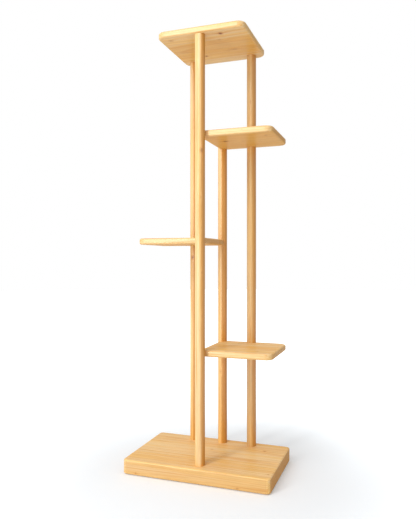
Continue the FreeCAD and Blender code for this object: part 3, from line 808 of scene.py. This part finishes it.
def new_piece(name, shells, material, node):
    """Join shells, each places with quads and triangles, into one piece that stands for a node."""
    places, faces, count = [], [], 0
    for own, quads, triangles in shells:
        places.append(own)
        faces += (quads + count).tolist() + (triangles + count).tolist()
        count += len(own)
    mesh = bpy.data.meshes.new(name)
    mesh.from_pydata(np.vstack(places).tolist(), [], faces)
    mesh.shade_smooth()
    mesh.materials.append(material)
    piece = put_in_scene(name, mesh)
    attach(piece, "root")
    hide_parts(node)
    print(name, "has", len(shells), "shells and", len(faces), "faces")


def middle(node):
    """The middle of a node's box."""
    low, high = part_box(node)
    return (np.array(low) + np.array(high)) / 2


# %% [markdown]
# ## Felt pads
#
# Four felt pads keep the base off the floor. Felt is punched from a pressed sheet, so its rim is a
# little ragged and bulges where the base's weight presses it. The rim wanders by a sum of three
# waves, and the cloth's fibres are left to the material: long thin noise in two directions, with a
# high roughness and a sheen for the fuzz.

# %% Felt
FELT_DARK = (0.24, 0.19, 0.14, 1)
FELT_PALE = (0.50, 0.43, 0.35, 1)
FELT_FLECK = (0.66, 0.62, 0.56, 1)
FELT_SWIRL = (0.004, 0.004, 0.004)
FIBRES_ONE_WAY = (900, 3800, 2600)   # features in one metre
FIBRES_ACROSS = (3600, 1000, 2600)
FUZZ_TALL = 0.00025


def make_felt():
    """Pressed felt: mixed brown and grey fibres, matt, with fuzz."""
    material, wires, shader = new_material("pressed felt")
    place = wires.coordinate()
    stirred = wires.node("ShaderNodeTexNoise", {"Vector": place, "Scale": 260}).outputs["Color"]
    swirl = wires.vector("MULTIPLY_ADD", stirred, FELT_SWIRL, place)
    hairs = wires.noise(wires.vector("MULTIPLY", swirl, FIBRES_ONE_WAY), 2, 0.6)
    across = wires.noise(wires.vector("MULTIPLY", swirl, FIBRES_ACROSS), 2, 0.6)
    fibres = wires.math("MAXIMUM", hairs, across)
    brown = wires.mix(wires.step(fibres, 0.42, 0.72), FELT_DARK, FELT_PALE)
    flecks = wires.step(wires.noise(place, 1, 0.5, 1500), 0.66, 0.72)
    wires.fill(shader, {
        "Base Color": wires.mix(wires.times(flecks, 0.5), brown, FELT_FLECK), "Roughness": 0.95,
        "Sheen Weight": 0.35, "Sheen Roughness": 0.5, "Specular IOR Level": 0.1,
        "Normal": wires.bump(wires.times(fibres, FUZZ_TALL))})
    return material


felt = make_felt()
print("Material", felt.name, "has", len(felt.node_tree.nodes), "nodes")

# %% Felt pads
PAD_RADIUS = 0.011
PAD_SIDES = 72
PAD_STEPS = (5, 2, 4, 2, 5)  # on the underside, a rim, the side, the other rim and the top
PAD_SEED = 80
FELT_BULGE = 0.00025
FELT_WANDER = 0.00012
FELT_SOFT = 0.0004           # how far the rims are eased
RIM_ONLY = 8                 # the power that keeps bulge and waves to the rim


def felt_pad(centre, low, high, radius, seed):
    """One pad: a disc with softened rims, whose side bulges and wanders a little."""
    side = radius - FELT_BULGE - FELT_WANDER
    tall = high - low
    profile = profile_points([(0, 0), (side - FELT_SOFT, 0), (side, FELT_SOFT), (side, tall - FELT_SOFT),
                              (side - FELT_SOFT, tall), (0, tall)], PAD_STEPS)
    luck = np.random.default_rng(seed).uniform(0, 2 * pi, 3)

    def ragged(radius, angle, height):
        """Radius plus a bulge that is widest at half height, and plus three waves round the rim."""
        rim = np.clip(radius / side, 0, 1) ** RIM_ONLY
        waves = np.sin(5 * angle + luck[0]) + np.sin(11 * angle + luck[1]) + np.sin(23 * angle + luck[2])
        bulge = FELT_BULGE * np.sin(pi * height / tall)
        return radius + rim * (bulge + FELT_WANDER * waves / 3), height

    places, quads, triangles = turned(profile, PAD_SIDES, ragged)
    return places + np.array((centre[0], centre[1], low)), quads, triangles


pads_low, pads_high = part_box("felt_pads")
pad_places = [(x, y) for x in (pads_low[0] + PAD_RADIUS, pads_high[0] - PAD_RADIUS)
              for y in (pads_low[1] + PAD_RADIUS, pads_high[1] - PAD_RADIUS)]
pads = [felt_pad(place, pads_low[2], pads_high[2], PAD_RADIUS, PAD_SEED + number)
        for number, place in enumerate(pad_places)]
new_piece("felt_pads_pressed", pads, felt, "felt_pads")

# %% [markdown]
# ## Screws
#
# From behind and below, the heads of the stand's screws can be seen in their sunk holes. They are
# zinc-plated wood screws with a bevelled head and a cross recess. One profile runs from the middle
# of the head over its rim and down the shank to the point. Two formulas then change it: the recess
# lowers the head where a place is near either arm of a cross, and the thread raises the shank where
# the height over the pitch, less the share of a turn, has a fraction near one half.

# %% Screw
HEAD_RADIUS = 0.0045
HEAD_TALL = 0.0024
HEAD_BEVEL = 0.0008
HEAD_EASE = 0.0003          # of the lower rim
THREAD_RADIUS = 0.00225
CORE_RADIUS = 0.0015
SHANK_RADIUS = 0.0017
PITCH = 0.0020
RIDGE_WIDE = 0.28           # half the foot of a ridge, in pitches
PLAIN_SHARE = 0.30          # of the length, without thread
POINT_LENGTH = 0.0060
RECESS_DEEP = 0.0014
RECESS_ARM = 0.00225        # half the length of a cross arm
RECESS_WIDE = 0.00050       # half its width
RECESS_WALL = 0.0003        # the width over which its walls slope
RECESS_END = 0.0006         # the length over which its ends slope
FLAT_TOP = 0.00001          # places of less height are on the head's flat top
UNDER_HEAD = 0.0001         # places this far below the head are on the shank
SCREW_SIDES = 40
SCREW_STEPS = (16, 3, 2, 1, 3, 110, 14)  # on each line of the profile, from the head's top down


def recess_arm(along, side):
    """1 inside one arm of the cross and 0 outside it, with sloping walls and ends."""
    wall = np.clip((RECESS_WIDE - abs(side)) / RECESS_WALL + 0.5, 0, 1)
    return wall * np.clip((RECESS_ARM - abs(along)) / RECESS_END, 0, 1)


def screw(start, direction, length):
    """One wood screw from the top of its head, along a direction."""
    profile = profile_points([
        (0, 0), (HEAD_RADIUS - HEAD_BEVEL, 0), (HEAD_RADIUS, HEAD_BEVEL),
        (HEAD_RADIUS, HEAD_TALL - HEAD_EASE), (HEAD_RADIUS - HEAD_EASE, HEAD_TALL),
        (SHANK_RADIUS, HEAD_TALL), (SHANK_RADIUS, length - POINT_LENGTH), (0, length)], SCREW_STEPS)
    thread_start = HEAD_TALL + PLAIN_SHARE * length

    def cut(radius, angle, height):
        """Lower the head inside the cross, and raise a thread on the shank."""
        x, y = radius * np.cos(angle), radius * np.sin(angle)
        on_top = (height < FLAT_TOP)
        height = height + on_top * RECESS_DEEP * np.maximum(recess_arm(x, y), recess_arm(y, x))
        turn = np.mod(height / PITCH - angle / (2 * pi), 1)
        ridge = np.clip(1 - abs(turn - 0.5) / RIDGE_WIDE, 0, 1)
        begins = np.clip((height - thread_start) / PITCH, 0, 1)
        taper = np.clip((length - height) / POINT_LENGTH, 0, 1)
        threaded = CORE_RADIUS + (THREAD_RADIUS - CORE_RADIUS) * ridge
        shank = (1 - begins) * SHANK_RADIUS + begins * threaded
        return np.where(height > HEAD_TALL + UNDER_HEAD, shank * taper, radius), height

    places, quads, triangles = turned(profile, SCREW_SIDES, cut)
    return set_along(places, start, direction), quads, triangles


print("A screw's head is", 2 * HEAD_RADIUS, "m wide and its pitch is", PITCH, "m")

# %% Zinc
ZINC_BLUE = (0.60, 0.62, 0.64, 1)
ZINC_YELLOW = (0.68, 0.65, 0.56, 1)
GRIME = (0.22, 0.21, 0.19, 1)
DRAW_MARKS = (9000, 1200, 9000)  # features in one metre
MARKS_TALL = 0.00002


def make_zinc():
    """Zinc-plated steel: bright, faintly yellow and blue, with fine draw marks and dull patches."""
    material, wires, shader = new_material("zinc plated steel")
    place = wires.coordinate()
    cloud = wires.noise(place, 3, 0.6, 420)
    tint = wires.mix(wires.step(cloud, 0.35, 0.65), ZINC_BLUE, ZINC_YELLOW)
    grime = wires.step(wires.noise(place, 2, 0.7, 1100), 0.60, 0.78)
    scratches = wires.noise(wires.vector("MULTIPLY", place, DRAW_MARKS), 1)
    wires.fill(shader, {
        "Base Color": wires.mix(wires.times(grime, 0.5), tint, GRIME), "Metallic": 1.0,
        "Roughness": wires.step(cloud, 0.3, 0.8, 0.26, 0.48),
        "Normal": wires.bump(wires.times(scratches, MARKS_TALL))})
    return material


zinc = make_zinc()
print("Material", zinc.name, "has", len(zinc.node_tree.nodes), "nodes")

# %% [markdown]
# ## Where the screws go
#
# Each post has a screw up through the base. Each side shelf has two, from behind through the middle
# post and through the outer one. The posts that reach the top shelf have one down through it. Their
# places could be written down again, but they are read from the boxes of the frame's own nodes, so
# they can't drift from it.

# %% Screws in place
ALL_POSTS = ["front_post", "rear_left_post", "rear_middle_post", "rear_right_post"]
SIDE_SHELVES = {"upper_right_shelf": "rear_right_post", "middle_left_shelf": "rear_left_post",
                "lower_right_shelf": "rear_right_post"}
SAME_LEVEL = 0.001

foot_low, foot_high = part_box("base_screws")
back_low, back_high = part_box("shelf_screws")
head_low, head_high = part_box("top_screws")
top_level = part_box("front_post")[1][2]
tall_posts = [post for post in ALL_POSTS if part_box(post)[1][2] > top_level - SAME_LEVEL]

foot_screws = [screw((*middle(post)[:2], foot_low[2]), (0, 0, 1), foot_high[2] - foot_low[2])
               for post in ALL_POSTS]
new_piece("base_screws_threaded", foot_screws, zinc, "base_screws")
back_length = back_high[1] - back_low[1]
back_screws = [screw((middle(post)[0], back_high[1], middle(shelf)[2]), (0, -1, 0), back_length)
               for shelf, outer in SIDE_SHELVES.items() for post in ("rear_middle_post", outer)]
new_piece("shelf_screws_threaded", back_screws, zinc, "shelf_screws")
head_screws = [screw((*middle(post)[:2], head_high[2]), (0, 0, -1), head_high[2] - head_low[2])
               for post in tall_posts]
new_piece("top_screws_threaded", head_screws, zinc, "top_screws")
